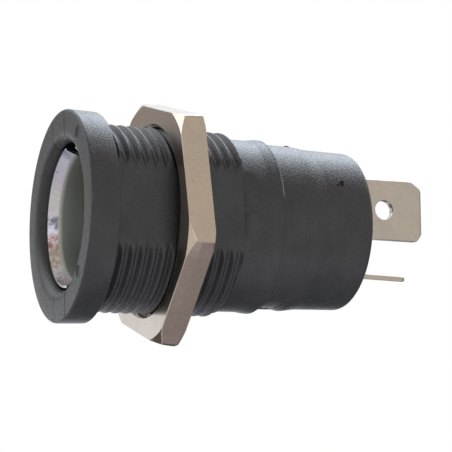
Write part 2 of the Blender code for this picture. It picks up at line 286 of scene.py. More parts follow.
def helix_rows(bm, x_ends, radius_of, angles, per_turn, clip=0.0):
    """A threaded surface of 1 mm pitch, whose rows follow the helix and stop at both ends.

    radius_of(phase, x) gives the radius, and per_turn lists the phases that get a row.
    """
    length = x_ends[1] - x_ends[0]
    phases = []
    turn = -1
    while turn < length + 0.001:
        phases += [turn + p for p in per_turn]
        turn += 1
    frac = angles / (2 * math.pi)
    verts = []
    for p in phases:
        x = np.clip(x_ends[0] + p + frac, *x_ends)
        row = ring(x, radius_of(p % 1.0, x), angles, clip)
        verts.append([bm.verts.new(v) for v in row])
    step = len(per_turn)
    last = len(verts) - 1
    for k in range(last):
        here, ahead = verts[k], verts[k + 1]
        for j in range(len(angles) - 1):
            add_quad(bm, (here[j], ahead[j], ahead[j + 1], here[j + 1]))
        # the last column meets the first one a turn further on
        add_quad(bm, (here[-1], ahead[-1], verts[min(k + 1 + step, last)][0],
                      verts[min(k + step, last)][0]))


def add_quad(bm, quad):
    """A face, unless two of its corners are the same point."""
    if len(set(quad)) == 4:
        bm.faces.new(quad)


def box_bm(bm, lo, hi, turn=0.0):
    """A box between two corners, turned about the axis."""
    made = bmesh.ops.create_cube(bm, size=1.0)["verts"]
    size = Vector(hi) - Vector(lo)
    mid = (Vector(hi) + Vector(lo)) / 2
    bmesh.ops.scale(bm, verts=made, vec=size)
    bmesh.ops.translate(bm, verts=made, vec=mid)
    bmesh.ops.rotate(bm, verts=made, matrix=Matrix.Rotation(turn, 3, "X"))


def rod_bm(bm, radius, a, b, steps=24, end_radius=None):
    """A rod or a cone from point a to point b."""
    a, b = Vector(a), Vector(b)
    made = bmesh.ops.create_cone(
        bm, cap_ends=True, segments=steps, radius1=radius, radius2=end_radius or radius,
        depth=(b - a).length,
    )["verts"]
    bmesh.ops.rotate(bm, verts=made, matrix=(b - a).to_track_quat("Z", "Y").to_matrix())
    bmesh.ops.translate(bm, verts=made, vec=(a + b) / 2)


def sector_bm(bm, xs, rs, middle, half, steps=16, slant=(0.0, 0.0)):
    """A block curved round the axis, between two x, two radii and two angles in degrees."""
    rows = []
    for k in range(steps + 1):
        a = math.radians(middle - half + 2 * half * k / steps)
        lean = 0.12 if k in (0, steps) else 0.0
        corners = ((xs[0] + slant[0] + lean, rs[0]), (xs[0], rs[1]),
                   (xs[1], rs[1]), (xs[1] - slant[1] - lean, rs[0]))
        rows.append([bm.verts.new((x, r * math.cos(a), r * math.sin(a))) for x, r in corners])
    for p, q in zip(rows, rows[1:]):
        for i in range(4):
            bm.faces.new((p[i], q[i], q[(i + 1) % 4], p[(i + 1) % 4]))
    bm.faces.new(rows[0])
    bm.faces.new(rows[-1])


def prism_bm(bm, outline, y0, y1):
    """A closed (x, z) outline extruded from y0 to y1."""
    face = bm.faces.new([bm.verts.new((x, y0, z)) for x, z in outline])
    made = bmesh.ops.extrude_face_region(bm, geom=[face])["geom"]
    verts = [v for v in made if isinstance(v, bmesh.types.BMVert)]
    bmesh.ops.translate(bm, verts=verts, vec=(0, y1 - y0, 0))


# ---------------------------------------------------------------- materials

# noise scales are in cells per metre; bump depths and fade widths are in metres
PLASTIC_CLOUDS = 260.0
PLASTIC_BUMPS = (0.00002, 0.000045)
PALE_EDGE_COLOUR = (0.08, 0.084, 0.09)
METAL_CLOUDS = 420.0
METAL_LINES = 2500.0
METAL_SPECKS = 1500.0
METAL_FINE_SPECKS = 5200.0
METAL_BUMPS = (0.0000015, 0.000004)
REFLECTION_BLOTCHES = 1300.0
REFLECTION_FADE = 0.0008
INSIDE_SHADE_FADE = 0.0003


class Nodes:
    """A short way to wire a node material."""

    def __init__(self, name):
        self.mat = bpy.data.materials.new(name)
        self.mat.use_nodes = True
        self.tree = self.mat.node_tree
        self.shader = self.tree.nodes["Principled BSDF"]
        self.coords = self.node("ShaderNodeTexCoord").outputs["Object"]

    def node(self, kind, inputs=None, **settings):
        """A node with its properties set and its inputs linked or set."""
        n = self.tree.nodes.new(kind)
        for key, value in settings.items():
            setattr(n, key, value)
        for key, value in (inputs or {}).items():
            self.put(n.inputs[key], value)
        return n

    def put(self, socket, value):
        """Links an output to a socket, or sets the socket to a constant."""
        if isinstance(value, bpy.types.NodeSocket):
            self.tree.links.new(value, socket)
        else:
            socket.default_value = value

    def scaled(self, scale):
        """Coordinates stretched by a scale on each axis."""
        return self.node("ShaderNodeMapping", {"Vector": self.coords, "Scale": scale}).outputs[0]

    def noise(self, scale, detail=2.0, rough=0.5, vector=None):
        n = self.node("ShaderNodeTexNoise", {
            "Vector": vector or self.coords, "Scale": scale, "Detail": detail, "Roughness": rough})
        return n.outputs["Fac"]

    def ramp(self, value, *stops):
        """Grey levels for a value, from two stops of (position, level)."""
        n = self.node("ShaderNodeValToRGB", {"Fac": value})
        for element, (at, level) in zip(n.color_ramp.elements, stops):
            element.position = at
            element.color = (level, level, level, 1.0)
        return n.outputs["Color"]

    def mix(self, fac, a, b):
        """Colour a turning into colour b as fac grows."""
        n = self.node("ShaderNodeMix", data_type="RGBA", blend_type="MIX")
        for socket, value in zip((n.inputs[0], n.inputs[6], n.inputs[7]), (fac, a, b)):
            if isinstance(value, tuple):
                value = (*value, 1.0)
            self.put(socket, value)
        return n.outputs[2]

    def math(self, op, a, b):
        n = self.node("ShaderNodeMath", operation=op)
        self.put(n.inputs[0], a)
        self.put(n.inputs[1], b)
        return n.outputs[0]

    def add(self, a, b):
        return self.math("ADD", a, b)

    def times(self, a, b):
        return self.math("MULTIPLY", a, b)

    def bump(self, height, distance, strength, normal=None):
        inputs = {"Height": height, "Distance": distance, "Strength": strength}
        if normal:
            inputs["Normal"] = normal
        return self.node("ShaderNodeBump", inputs).outputs[0]

    def edges(self, low, high):
        """A mask of the outer edges."""
        point = self.node("ShaderNodeNewGeometry").outputs["Pointiness"]
        return self.ramp(point, (low, 0.0), (high, 1.0))

    def between(self, value, low, high):
        """A soft step from 0 at low to 1 at high."""
        inputs = {"Value": value, "From Min": low, "From Max": high}
        return self.node("ShaderNodeMapRange", inputs, interpolation_type="SMOOTHSTEP").outputs[0]

    def done(self, colour, roughness, normal, metallic=0.0, **fixed):
        """Feeds the shader. Other sockets are set by name, with _ for each space."""
        self.put(self.shader.inputs["Base Color"], colour)
        self.put(self.shader.inputs["Roughness"], roughness)
        self.put(self.shader.inputs["Normal"], normal)
        self.shader.inputs["Metallic"].default_value = metallic
        for key, value in fixed.items():
            self.shader.inputs[key.replace("_", " ")].default_value = value
        return self.mat


def plastic(name, dark, light, grain, rough=0.2):
    """Moulded plastic with a fine eroded grain and a slightly paler colour on its sharp edges."""
    m = Nodes(name)
    fine = m.noise(grain, 2.0, 0.6)
    coarse = m.noise(grain * 0.5, 2.0, 0.5)
    clouds = m.noise(PLASTIC_CLOUDS, 3.0, 0.6)
    colour = m.mix(m.ramp(clouds, (0.3, 0.0), (0.7, 1.0)), dark, light)
    # sharp outer edges, found by pointiness, are patchily mixed towards a paler colour
    edge_mask = m.times(m.edges(0.55, 0.66), m.ramp(coarse, (0.35, 0.2), (0.65, 1.0)))
    colour = m.mix(m.times(edge_mask, 0.3), colour, PALE_EDGE_COLOUR)
    r = m.add(m.times(fine, 0.16), rough)
    normal = m.bump(coarse, PLASTIC_BUMPS[0], 0.3)
    normal = m.bump(fine, PLASTIC_BUMPS[1], 1.0, normal)
    return m.done(colour, r, normal, Specular_IOR_Level=0.5)


def metal(name, base, tint, rough, spots=(0.25, 0.2, 0.16), drawn=(1.0, 1.0, 1.0),
          spot_share=0.68, shaded_inside=None, painted_reflections=()):
    """Plated metal: cloudy tint, fine drawn lines along one direction, a few dark specks.

    painted_reflections lists blotchy bands of painted reflection, as (low z, high z, colour).
    shaded_inside is (x, colour, added roughness): painted shade, a darker colour with more
    roughness for the part of a piece that lies behind x.
    """
    m = Nodes(name)
    clouds = m.noise(METAL_CLOUDS, 4.0, 0.6)
    lines = m.noise(METAL_LINES, 3.0, 0.6, m.scaled(drawn))
    speck = m.noise(METAL_SPECKS, 3.0, 0.7)
    fine_speck = m.noise(METAL_FINE_SPECKS, 2.0)
    colour = m.mix(m.ramp(clouds, (0.35, 0.0), (0.65, 1.0)), base, tint)
    colour = m.mix(m.ramp(speck, (spot_share, 0.0), (spot_share + 0.07, 0.7)), colour, spots)
    colour = m.mix(m.ramp(fine_speck, (0.35, 0.0), (0.7, 0.16)), colour, spots)
    r = m.add(m.times(lines, 0.10), rough - 0.07)
    r = m.add(r, m.times(clouds, 0.05))
    axes = m.node("ShaderNodeSeparateXYZ", {"Vector": m.coords}).outputs
    # painted reflections: each band of height gets blotches of its reflected colour
    for low, high, reflected_colour in painted_reflections:
        band = m.times(m.between(axes["Z"], low, low + REFLECTION_FADE),
                       m.between(axes["Z"], high, high - REFLECTION_FADE))
        blotches = m.ramp(m.noise(REFLECTION_BLOTCHES, 4.0, 0.7), (0.4, 0.15), (0.6, 0.85))
        colour = m.mix(m.times(band, blotches), colour, reflected_colour)
    # painted shade: behind x the piece turns a darker colour, and it also gets rougher
    if shaded_inside:
        start, shade, more = shaded_inside
        inside = m.between(axes["X"], start, start + INSIDE_SHADE_FADE)
        colour = m.mix(inside, colour, shade)
        r = m.add(r, m.times(inside, more))
    normal = m.bump(lines, METAL_BUMPS[0], 0.4)
    normal = m.bump(speck, METAL_BUMPS[1], 0.2, normal)
    return m.done(colour, r, normal, 1.0)


HOUSING_MAT = plastic(
    "black_grained_plastic", (0.0145, 0.0152, 0.0170), (0.0225, 0.0232, 0.0255), 8500.0)
INNER_MAT = plastic(
    "inner_black_plastic", (0.018, 0.018, 0.019), (0.032, 0.032, 0.034), 7000.0)
# lighter plastic for a painted highlight along the upper near side of the barrel's step
STEP_HIGHLIGHT_MAT = plastic(
    "painted_highlight_plastic", (0.07, 0.075, 0.08), (0.14, 0.145, 0.155), 9000.0, 0.3)
BUSH_MAT = plastic("natural_plastic", (0.42, 0.37, 0.28), (0.52, 0.47, 0.37), 6000.0)
NUT_MAT = metal(
    "nickel_plate", (0.675, 0.59, 0.50), (0.62, 0.55, 0.475), 0.22, drawn=(0.06, 1.0, 1.0))
JAW_MAT = metal(
    "bright_spring_strip", (0.80, 0.84, 0.95), (0.74, 0.76, 0.84), 0.24,
    spots=(0.36, 0.24, 0.24), drawn=(1.0, 1.0, 0.25), spot_share=0.66,
    # painted shade inside the jaw, behind its lip: a darker greenish grey, and rougher
    shaded_inside=(-0.0011, (0.48, 0.52, 0.48), 0.3),
    # painted reflections: a pale band low down, a red band below the axis and a dark band about it
    painted_reflections=(
        (-0.007, -0.0012, (0.40, 0.33, 0.26)),
        (-0.0024, -0.0001, (0.36, 0.13, 0.09)),
        (-0.0005, 0.0016, (0.06, 0.04, 0.05)),
    ))
BLADE_MAT = metal(
    "tinned_blade", (0.71, 0.67, 0.62), (0.65, 0.62, 0.57), 0.30, drawn=(0.12, 1.0, 1.0))
BRASS_MAT = metal("contact_brass", (0.72, 0.52, 0.22), (0.60, 0.42, 0.18), 0.3)
STEEL_MAT = metal("zinc_steel", (0.58, 0.57, 0.55), (0.46, 0.45, 0.43), 0.33)


# ---------------------------------------------------------------- housing

def mouth(t, inset=0.0):
    """A point on the bell mouth, from the bore at t = 0 to the front face at t = 1."""
    a = t * math.pi / 2
    return (MOUTH_END - (MOUTH_DEPTH - inset) * math.sin(a),
            FACE_IN_R - (MOUTH_WIDTH - inset) * math.cos(a))


def thread_radius(phase, x):
    """Radius of the M18 thread at a phase of its pitch, run out at both ends."""
    height = np.interp(phase, (0.0, 0.07, 0.13, 0.40, 0.45, 0.5, 0.55, 0.60, 0.87, 0.93, 1.0),
                       (0.0, 0.0, 0.07, 0.90, 0.98, 1.0, 0.98, 0.90, 0.07, 0.0, 0.0))
    run = np.clip(np.minimum(x / 0.35, (12.98 - x) / 0.12), 0.0, 1.0)
    return CORE_R + (CREST_R - CORE_R) * height * run


def housing_surface():
    """The turned skin: rear barrel, thread with its flats, flange, bell mouth and bore."""
    angles = round_angles(COLUMNS)
    run_out_x = THREAD_X[1] + 0.02
    rear = rounded([
        (SHOULDER_X, BORE_R - 0.1, 0), (SHOULDER_X, REAR_BORE_R, 0.1),
        (REAR_X, REAR_BORE_R, 0.12), (REAR_X, 7.88, 0.62), (24.0, 7.92, 2.0), (21.7, 7.98, 1.0),
        (20.4, 8.17, 1.0), (17.3, 8.24, 0.4), (16.93, 8.25, 0.1), (16.80, 8.50, 0.03),
        (16.77, 8.585, 0.03), (16.70, 8.58, 0), (16.62, 8.57, 0), (16.1, 8.52, 0.3),
        (15.6, 8.44, 1.0), (THREAD_X[1] + 1.1, RUN_OUT_R, 0.4), (run_out_x, RUN_OUT_R, 0),
    ], 5)
    bm = bmesh.new()
    rings = [ring(x, r, angles) for x, r in rear[:-1]]
    rings.append(ring(run_out_x, RUN_OUT_R, angles, FLAT_Y + 0.02))
    rings.append(ring(THREAD_X[1], CORE_R, angles, FLAT_Y))
    join_rings(bm, rings)
    phases = (0.0, 0.07, 0.13, 0.26, 0.40, 0.45, 0.5, 0.55, 0.60, 0.74, 0.87, 0.93)
    helix_rows(bm, THREAD_X, thread_radius, angles, phases, FLAT_Y)
    front = rounded([
        (RELIEF_X, CORE_R + 0.2, 0), (RELIEF_X, CREST_R + 0.08, 0.03), (0.0, CREST_R + 0.2, 0.03),
        (0.0, FLANGE_R - 0.14, 0.16), (-FLANGE_T, FLANGE_R - 0.05, 0.26),
        (-FLANGE_T, FACE_IN_R, 0),
    ], 5)
    bell = [mouth(1 - k / 10) for k in range(11)]
    bore = [(x, BORE_R) for x in (MOUTH_END, 0.0, 6.0, 12.0, SHOULDER_X)]
    bore.append((SHOULDER_X, BORE_R - 0.1))
    rings = [ring(RELIEF_X, CORE_R, angles, FLAT_Y)]
    rings += [ring(x, r, angles) for x, r in front[:-1] + bell + bore]
    join_rings(bm, rings)
    clean(bm)
    return bm


def groove(side, y, depth):
    """Outline of a cutter for a fine line down the flange, over its face and into the mouth."""
    path = [(0.4, FLANGE_R - 0.06), (-FLANGE_T + 0.35, FLANGE_R - 0.12)]
    path += [(depth - FLANGE_T, FLANGE_R - 0.35), (depth - FLANGE_T, FACE_IN_R)]
    path += [mouth(1 - k / 8, depth) for k in range(1, 9)]
    path += [(-1.2, BORE_R + depth), (-1.2, 6.7), (-3.6, 6.7), (-3.6, 11.2), (0.4, 11.2)]
    return [(x, side * math.sqrt(max(r * r - y * y, 0))) for x, r in path]


def housing():
    """The moulded body, with its windows, keyways, recesses, holes, pits and fine lines cut."""
    ob = raw_object("housing_shell", housing_surface())
    bm = bmesh.new()
    for side in (-1, 1):
        z0, z1 = span(side, *WINDOW_Z)
        box_bm(bm, (WINDOW_X[0], -WINDOW_HALF, z0), (WINDOW_X[1], WINDOW_HALF, z1))
        z0, z1 = span(side, KEY_IN_R, KEY_R)
        box_bm(bm, (KEY_X0, -KEY_HALF, z0), (SHOULDER_X, KEY_HALF, z1))
    cut(ob, bm)
    bm = bmesh.new()
    sector_bm(bm, (16.9, 23.2), (7.92, 9.2), -90.0, 19.0, slant=(0.6, 3.9))
    sector_bm(bm, (17.75, 20.1), (8.06, 9.2), 90.0, 19.0)
    for y, z in PIN_HOLES:
        rod_bm(bm, PIN_HOLE_R, (-FLANGE_T - 1, y, z), (PIN_HOLE_DEPTH - FLANGE_T, y, z))
        rod_bm(bm, PIN_RIM_R[0], (-FLANGE_T - 0.1, y, z), (0.1 - FLANGE_T, y, z),
               end_radius=PIN_RIM_R[1])
    cut(ob, bm)
    for x, degrees, r in PITS:
        c, s = math.cos(math.radians(degrees)), math.sin(math.radians(degrees))
        low, high = PIT_R
        bm = bmesh.new()
        rod_bm(bm, r, (x, low * c, low * s), (x, high * c, high * s), 11)
        cut(ob, bm)
    for side in (-1, 1):
        bm = bmesh.new()
        for y, width, depth in ((-KEY_HALF, 0.13, 0.16), (KEY_HALF, 0.08, 0.09)):
            prism_bm(bm, groove(side, y, depth), y - width / 2, y + width / 2)
        cut(ob, bm)
    dress(ob, "socket", HOUSING_MAT, ("housing",), 34.0)
    bm = bmesh.new()
    sector_bm(bm, (20.12, 20.42), (7.9, 8.26), 101.5, 2.2, 4)
    add_piece("moulding_burr", bm, "socket", HOUSING_MAT)
    # painted highlight: a thin strip of lighter plastic on the upper near side of the barrel's
    # rear edge
    bm = bmesh.new()
    sector_bm(bm, (16.75, 16.86), (8.35, 8.6), 140.0, 31.0, 40)
    add_piece("step_edge_painted_highlight", bm, "socket", STEP_HIGHLIGHT_MAT)


# ---------------------------------------------------------------- nut

def hex_outline():
    """Angles and radii round the nut, each of whose corners is rounded by its own fillet."""
    flat_steps, corner_steps = 14, 5
    side = NUT_AF / 2 / math.cos(math.pi / 6)
    turns = [NUT_TURN + k * math.pi / 3 for k in range(6)]
    corners = [Vector((side * math.cos(a), side * math.sin(a))) for a in turns]
    arcs = []
    for k, c in enumerate(corners):
        reach = NUT_FILLETS[k] * math.tan(math.pi / 6)
        start = c + (corners[k - 1] - c).normalized() * reach
        end = c + (corners[(k + 1) % 6] - c).normalized() * reach
        arcs.append([curve_point(start, c, end, i / corner_steps)
                     for i in range(corner_steps + 1)])
    pts = []
    for k, arc in enumerate(arcs):
        pts += arc
        start, end = arc[-1], arcs[(k + 1) % 6][0]
        pts += [start.lerp(end, i / flat_steps) for i in range(1, flat_steps)]
    ang = np.unwrap([math.atan2(p.y, p.x) for p in pts])
    return ang, np.array([p.length for p in pts])


def nut_bore_radius(phase, x):
    """Radius of the nut's thread at a phase of its pitch, run out at both ends."""
    height = np.interp(phase, (0.0, 0.1, 0.4, 0.6, 0.9, 1.0), (0.0, 0.0, 1.0, 1.0, 0.0, 0.0))
    front, rear = (x - NUT_X[0] - NUT_LEAD) / 0.2, (NUT_X[1] - NUT_LEAD - x) / 0.2
    run = np.clip(np.minimum(front, rear), 0.0, 1.0)
    return NUT_BORE_R + NUT_THREAD_DEPTH * height * run


def nut():
    """The nut, chamfered at both ends and worn at one rear corner, and its thread."""
    ang, rad = hex_outline()
    x0, x1 = NUT_X
    rim, face = NUT_RIM_R
    chamfer_r = NUT_CHAMFER_R + 0.08 * np.cos(ang - NUT_TURN) + 0.02
    fore, aft = rad * 0.997, rad * 1.008
    over = np.maximum(0.0, fore - chamfer_r)
    rise = over * NUT_CHAMFER_SLOPE
    inner_rise = np.maximum(0, over - 0.05) * NUT_CHAMFER_SLOPE
    worn = NUT_WEAR * np.clip(np.cos(ang - NUT_TURN - math.pi / 3), 0, 1) ** 12
    over_rear = np.maximum(0.0, aft - NUT_REAR_CHAMFER_R + worn)
    bm = bmesh.new()
    join_rings(bm, [ring(x, r, ang) for x, r in (
        (x0 + NUT_LEAD, NUT_BORE_R),
        (x0 + 0.04, rim),
        (x0, face),
        (x0, NUT_FACE_R),
        (x0, np.minimum(fore - 0.08, chamfer_r - 0.03)),
        (x0 + 0.01 + inner_rise,
         np.minimum(fore - 0.05, chamfer_r + np.maximum(0.02, over - 0.05))),
        (x0 + 0.03 + rise, fore - 0.015),
        (x0 + 0.09 + rise, fore),
        (x0 + 1.1, (fore + aft) / 2),
        (x1 - 0.12 - over_rear * 0.8, aft),
        (x1 - 0.04 - over_rear * 0.4, aft - 0.02 - worn * 0.3),
        (x1, np.minimum(aft - 0.1, NUT_REAR_CHAMFER_R - 0.1) - worn),
        (x1, NUT_FACE_R),
        (x1, face),
        (x1 - 0.04, rim),
        (x1 - NUT_LEAD, NUT_BORE_R),
    )])
    thread = bmesh.new()
    helix_rows(thread, (x0 + NUT_LEAD, x1 - NUT_LEAD), nut_bore_radius, round_angles(NUT_COLUMNS),
               (0.0, 0.1, 0.25, 0.4, 0.6, 0.75, 0.9))
    add_piece("clamping_nut", bm, "nut", NUT_MAT, ("hex_nut",), 24.0, flat=True)
    add_piece("clamping_nut_thread", thread, "nut", NUT_MAT, (), 40.0)


# ---------------------------------------------------------------- earth jaws

def jaw(name, node, side, arc):
    """A part-round spring shell with a flared, slightly rolled lip, and its riveted foot."""
    r_in, r_out = JAW_R
    inner = [(-1.93, 6.55), (-1.6, 6.42), (-1.2, 6.25), (-0.86, 6.10), (-0.72, 6.045),
             (-0.55, r_in), (0.4, r_in), (4.0, r_in), (JAW_END_X, r_in)]
    outer = [(JAW_END_X, r_out), (4.0, r_out), (0.0, r_out), (-0.5, 6.46), (-0.8, 6.49),
             (-1.1, 6.56), (-1.5, 6.69), (-1.84, 6.81), (-1.93, 6.76)]
    loop = inner + outer
    n = len(loop)
    middle = 0.0 if side > 0 else math.pi
    half = math.radians(arc / 2)
    edge_angle = 0.006
    count = int(arc / 2.0)
    steps = [-half, -half + edge_angle]
    steps += [-half + 2 * half * k / count for k in range(1, count)]
    steps += [half - edge_angle, half]
    bm = bmesh.new()
    rows = []
    for i, a in enumerate(steps):
        # the first and last rows are drawn in a little, which softens the sheared edges
        at_edge = i in (0, len(steps) - 1)
        row = []
        for x, r in loop:
            if at_edge:
                mid_r = JAW_MID_R + max(0.0, (-0.6 - x)) * 0.32
                r += (mid_r - r) * 0.05 * 3.0
                x += 0.05 if x < -1.8 else 0.0
            row.append(bm.verts.new((x, r * math.cos(middle + a), r * math.sin(middle + a))))
        rows.append(row)
    for a, b in zip(rows, rows[1:]):
        for k in range(n):
            bm.faces.new((a[k], b[k], b[(k + 1) % n], a[(k + 1) % n]))
    for row in (rows[0], rows[-1]):
        for k in range(n // 2 - 1):
            bm.faces.new((row[k], row[k + 1], row[n - 2 - k], row[n - 1 - k]))
    body = "far_jaw" if side > 0 else "near_jaw"
    add_piece(name, bm, body, JAW_MAT, (node,), 30.0)
    bm = bmesh.new()
    y0, y1 = span(side, 3.9, 6.05)
    box_bm(bm, (JAW_END_X - FOOT_T, y0, -2.0), (JAW_END_X, y1, 2.0))
    foot = raw_object(name + "_foot", bm)
    bm = bmesh.new()
    rod_bm(bm, RIVET_HOLE_R, (12.0, side * RIVET_Y, 0), (14.0, side * RIVET_Y, 0))
    cut(foot, bm)
    bevel(foot, 0.06)
    dress(foot, body, JAW_MAT, flat=True)


# ---------------------------------------------------------------- blades

def sheet_mesh(name, outline, half, hole):
    """A flat sheet with a round hole and soft edges, drawn in x and y about z = 0."""
    pts = rounded([(*outline[-1][:2], 0)] + outline + [(*outline[0][:2], 0)], 4)[1:-1]
    edge = min(0.07, half * 0.3)
    curve = bpy.data.curves.new(name, "CURVE")
    curve.dimensions = "2D"
    curve.fill_mode = "BOTH"
    curve.extrude = (half - edge) * MM
    curve.bevel_depth = edge * MM
    curve.bevel_resolution = 2
    curve.offset = -edge * MM
    hx, hy, hr = hole
    turn = np.linspace(0, 2 * math.pi, 49)[:-1]
    circle = [(hx + hr * math.cos(t), hy + hr * math.sin(t)) for t in turn]
    for loop in (pts, circle):
        spline = curve.splines.new("POLY")
        spline.points.add(len(loop) - 1)
        for point, (x, y) in zip(spline.points, loop):
            point.co = (x * MM, y * MM, 0.0, 1.0)
        spline.use_cyclic_u = True
    drawn = linked(name + "_flat", curve)
    me = final_mesh(drawn)
    bpy.data.objects.remove(drawn, do_unlink=True)
    return me


def blade(name, slot, outline, half, hole, taper, tilt, flat_wise=False):
    """A sheet blade with a thinned tip, either upright or lying flat and bent down a little."""
    bm = bmesh.new()
    bm.from_mesh(sheet_mesh(name, outline, half, hole))
    bmesh.ops.scale(bm, verts=bm.verts, vec=(1000, 1000, 1000))
    bmesh.ops.remove_doubles(bm, verts=bm.verts, dist=MERGE)
    tip = EARTH_TIP if flat_wise else LIVE_TIP
    for at in (tip - taper, BLADE_ROOT_X):
        geom = list(bm.verts) + list(bm.edges) + list(bm.faces)
        bmesh.ops.bisect_plane(bm, geom=geom, plane_co=(at, 0, 0), plane_no=(1, 0, 0))
    for v in bm.verts:
        t = min(max((v.co.x - (tip - taper)) / taper, 0.0), 1.0)
        v.co.z *= 1.0 - 0.45 * t
        if flat_wise:
            v.co.z += EARTH_Z - 0.026 * max(0.0, v.co.x - BLADE_ROOT_X)
        else:
            v.co.y = LIVE_Z + (v.co.y - LIVE_Z) * (1 - 0.002 * max(0.0, LIVE_TIP - v.co.x))
    turn = tilt if flat_wise else math.pi / 2 + tilt
    bmesh.ops.rotate(bm, verts=bm.verts, matrix=Matrix.Rotation(turn, 3, "X"))
    add_piece(name, bm, "socket", BLADE_MAT, (slot,), 30.0, flat=True)


def blades():
    """The two blades, and the plate that the lower one is bent from."""
    z0, z1 = LIVE_Z - LIVE_HALF_WIDTH, LIVE_Z + LIVE_HALF_WIDTH
    blade("live_blade", "live_terminal", [
        (21.3, -1.5, 0.2), (23.3, -1.5, 0.2), (23.3, z0, 0.2), (LIVE_TIP - 0.62, z0, 0.25),
        (LIVE_TIP, z0 + 0.82, 0.25), (LIVE_TIP, z1 - 0.86, 0.6), (LIVE_TIP - 1.22, z1, 0.9),
        (23.3, z1, 0.3), (23.3, 1.5, 0.2), (21.3, 1.5, 0.2),
    ], 0.4, (LIVE_TIP - 4.35, LIVE_Z, 1.0), 0.25, LIVE_TILT)
    w = EARTH_HALF_WIDTH
    blade("earth_blade", "earth_terminal", [
        (13.7, -w, 0), (EARTH_TIP - 0.5, -w, 0.3), (EARTH_TIP, -1.9, 0.3), (EARTH_TIP, 1.9, 0.3),
        (EARTH_TIP - 0.5, w, 0.3), (13.7, w, 0),
    ], 0.25, (EARTH_TIP - 3.3, 0.0, 0.7), 0.45, EARTH_TILT, flat_wise=True)
    (x0, x1), (r0, r1) = PLATE_X, PLATE_R
    bm = bmesh.new()
    turned_bm(bm, [
        (13.85, r0, 0), (x1, r0, 0.06), (x1, r1, 0.1), (x0, r1, 0.1), (x0, r0, 0.06),
        (13.85, r0, 0),
    ], 2)
    plate = raw_object("earth_plate", bm)
    bm = bmesh.new()
    box_bm(bm, (13.0, -8, -9), (15.0, 8, -4.2), EARTH_TILT)
    for side in (-1, 1):
        rod_bm(bm, RIVET_HOLE_R, (13.0, side * RIVET_Y, 0), (15.0, side * RIVET_Y, 0))
    cut(plate, bm)
    dress(plate, "socket", BLADE_MAT, flat=True)


# ---------------------------------------------------------------- inner pieces

def carrier():
    """The insulating block, its keys, and the barbs that fill the housing's two windows."""
    x0, x1 = CARRIER_X
    r0, r1, r2 = CARRIER_R
    bm = bmesh.new()
    turned_bm(bm, [
        (17.5, r0, 0), (x1, r0, 0.15), (x1, r1, 0.3), (CARRIER_STOP_X, r1, 0.05),
        (CARRIER_STOP_X, r2, 0.1), (x0, r2, 0.15), (x0, r0, 0.15), (17.5, r0, 0),
    ], 3)
    ob = raw_object("carrier_block", bm)
    bm = bmesh.new()
    barb_x = (WINDOW_X[0] - 0.01, WINDOW_X[1] + 0.01)
    sector_bm(bm, barb_x, (WINDOW_Z[0], 7.92), -90.0, 13.7, 8)
    sector_bm(bm, barb_x, (WINDOW_Z[0], 8.04), 90.0, 13.5, 8)
    for side in (-1, 1):
        z0, z1 = span(side, KEY_IN_R, KEY_R - 0.1)
        box_bm(bm, (x0, -1.7, z0), (CARRIER_STOP_X, 1.7, z1))
    cut(ob, bm, "UNION")
    bm = bmesh.new()
    for side in (-1, 1):
        y = side * RIVET_Y
        rod_bm(bm, RIVET_HOLE_R, (13.0, y, 0), (21.0, y, 0))
        rod_bm(bm, RIVET_HEAD_HOLE_R, (17.0, y, 0), (21.0, y, 0))
    box_bm(bm, (13.0, -2.55, EARTH_Z - 0.4), (21.0, 2.55, EARTH_Z + 0.35), EARTH_TILT)
    cut(ob, bm)
    dress(ob, "socket", INNER_MAT, ("carrier",), flat=True)


def repaint():
    """CAD nodes that keep their shape get their materials here."""
    looks = {
        "rear_cover": INNER_MAT, "insulator_bush": BUSH_MAT, "centre_contact": BRASS_MAT,
        "finger_ring": STEEL_MAT, "star_washer": STEEL_MAT, "rivet_far": STEEL_MAT,
        "rivet_near": STEEL_MAT,
    }
    for name, mat in looks.items():
        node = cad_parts[name]
        node.data.materials.clear()
        node.data.materials.append(mat)


# ---------------------------------------------------------------- stage

CAMERA_YAW, CAMERA_PITCH, CAMERA_ROLL = 0.3948, 0.1920, -0.0217
CAMERA_DISTANCE = 169.35
CAMERA_TARGET = (14.30, 0.0, -0.035)
CAMERA_SENSOR = 36.0
CAMERA_LENS = 137.3814

FLOOR_Z = -250.0
FLOOR_SIZE = 2000.0
WHITE = (1.0, 1.0, 1.0, 1.0)

# name, place, size, power, colour and aim of each lamp, in metres and watts
LAMP_AIM = (0.012, 0.0, 0.0)
LAMPS = (
    ("front", (0.02, -0.22, 0.02), 0.16, 0.40, (1.0, 0.98, 0.98), LAMP_AIM),
    ("above", (0.0, 0.06, 0.2), 0.16, 0.24, (0.95, 0.98, 1.0), LAMP_AIM),
    ("left", (-0.2, -0.05, 0.0), 0.12, 0.07, (1.0, 1.0, 1.0), LAMP_AIM),
    ("below", (0.03, -0.06, -0.12), 0.1, 0.1, (1.0, 0.98, 0.98), LAMP_AIM),
    ("floor_pool", (0.03, -0.05, -0.08), 0.1, 0.07, (1.0, 0.95, 0.92), (0.03, -0.05, -0.25)),
)

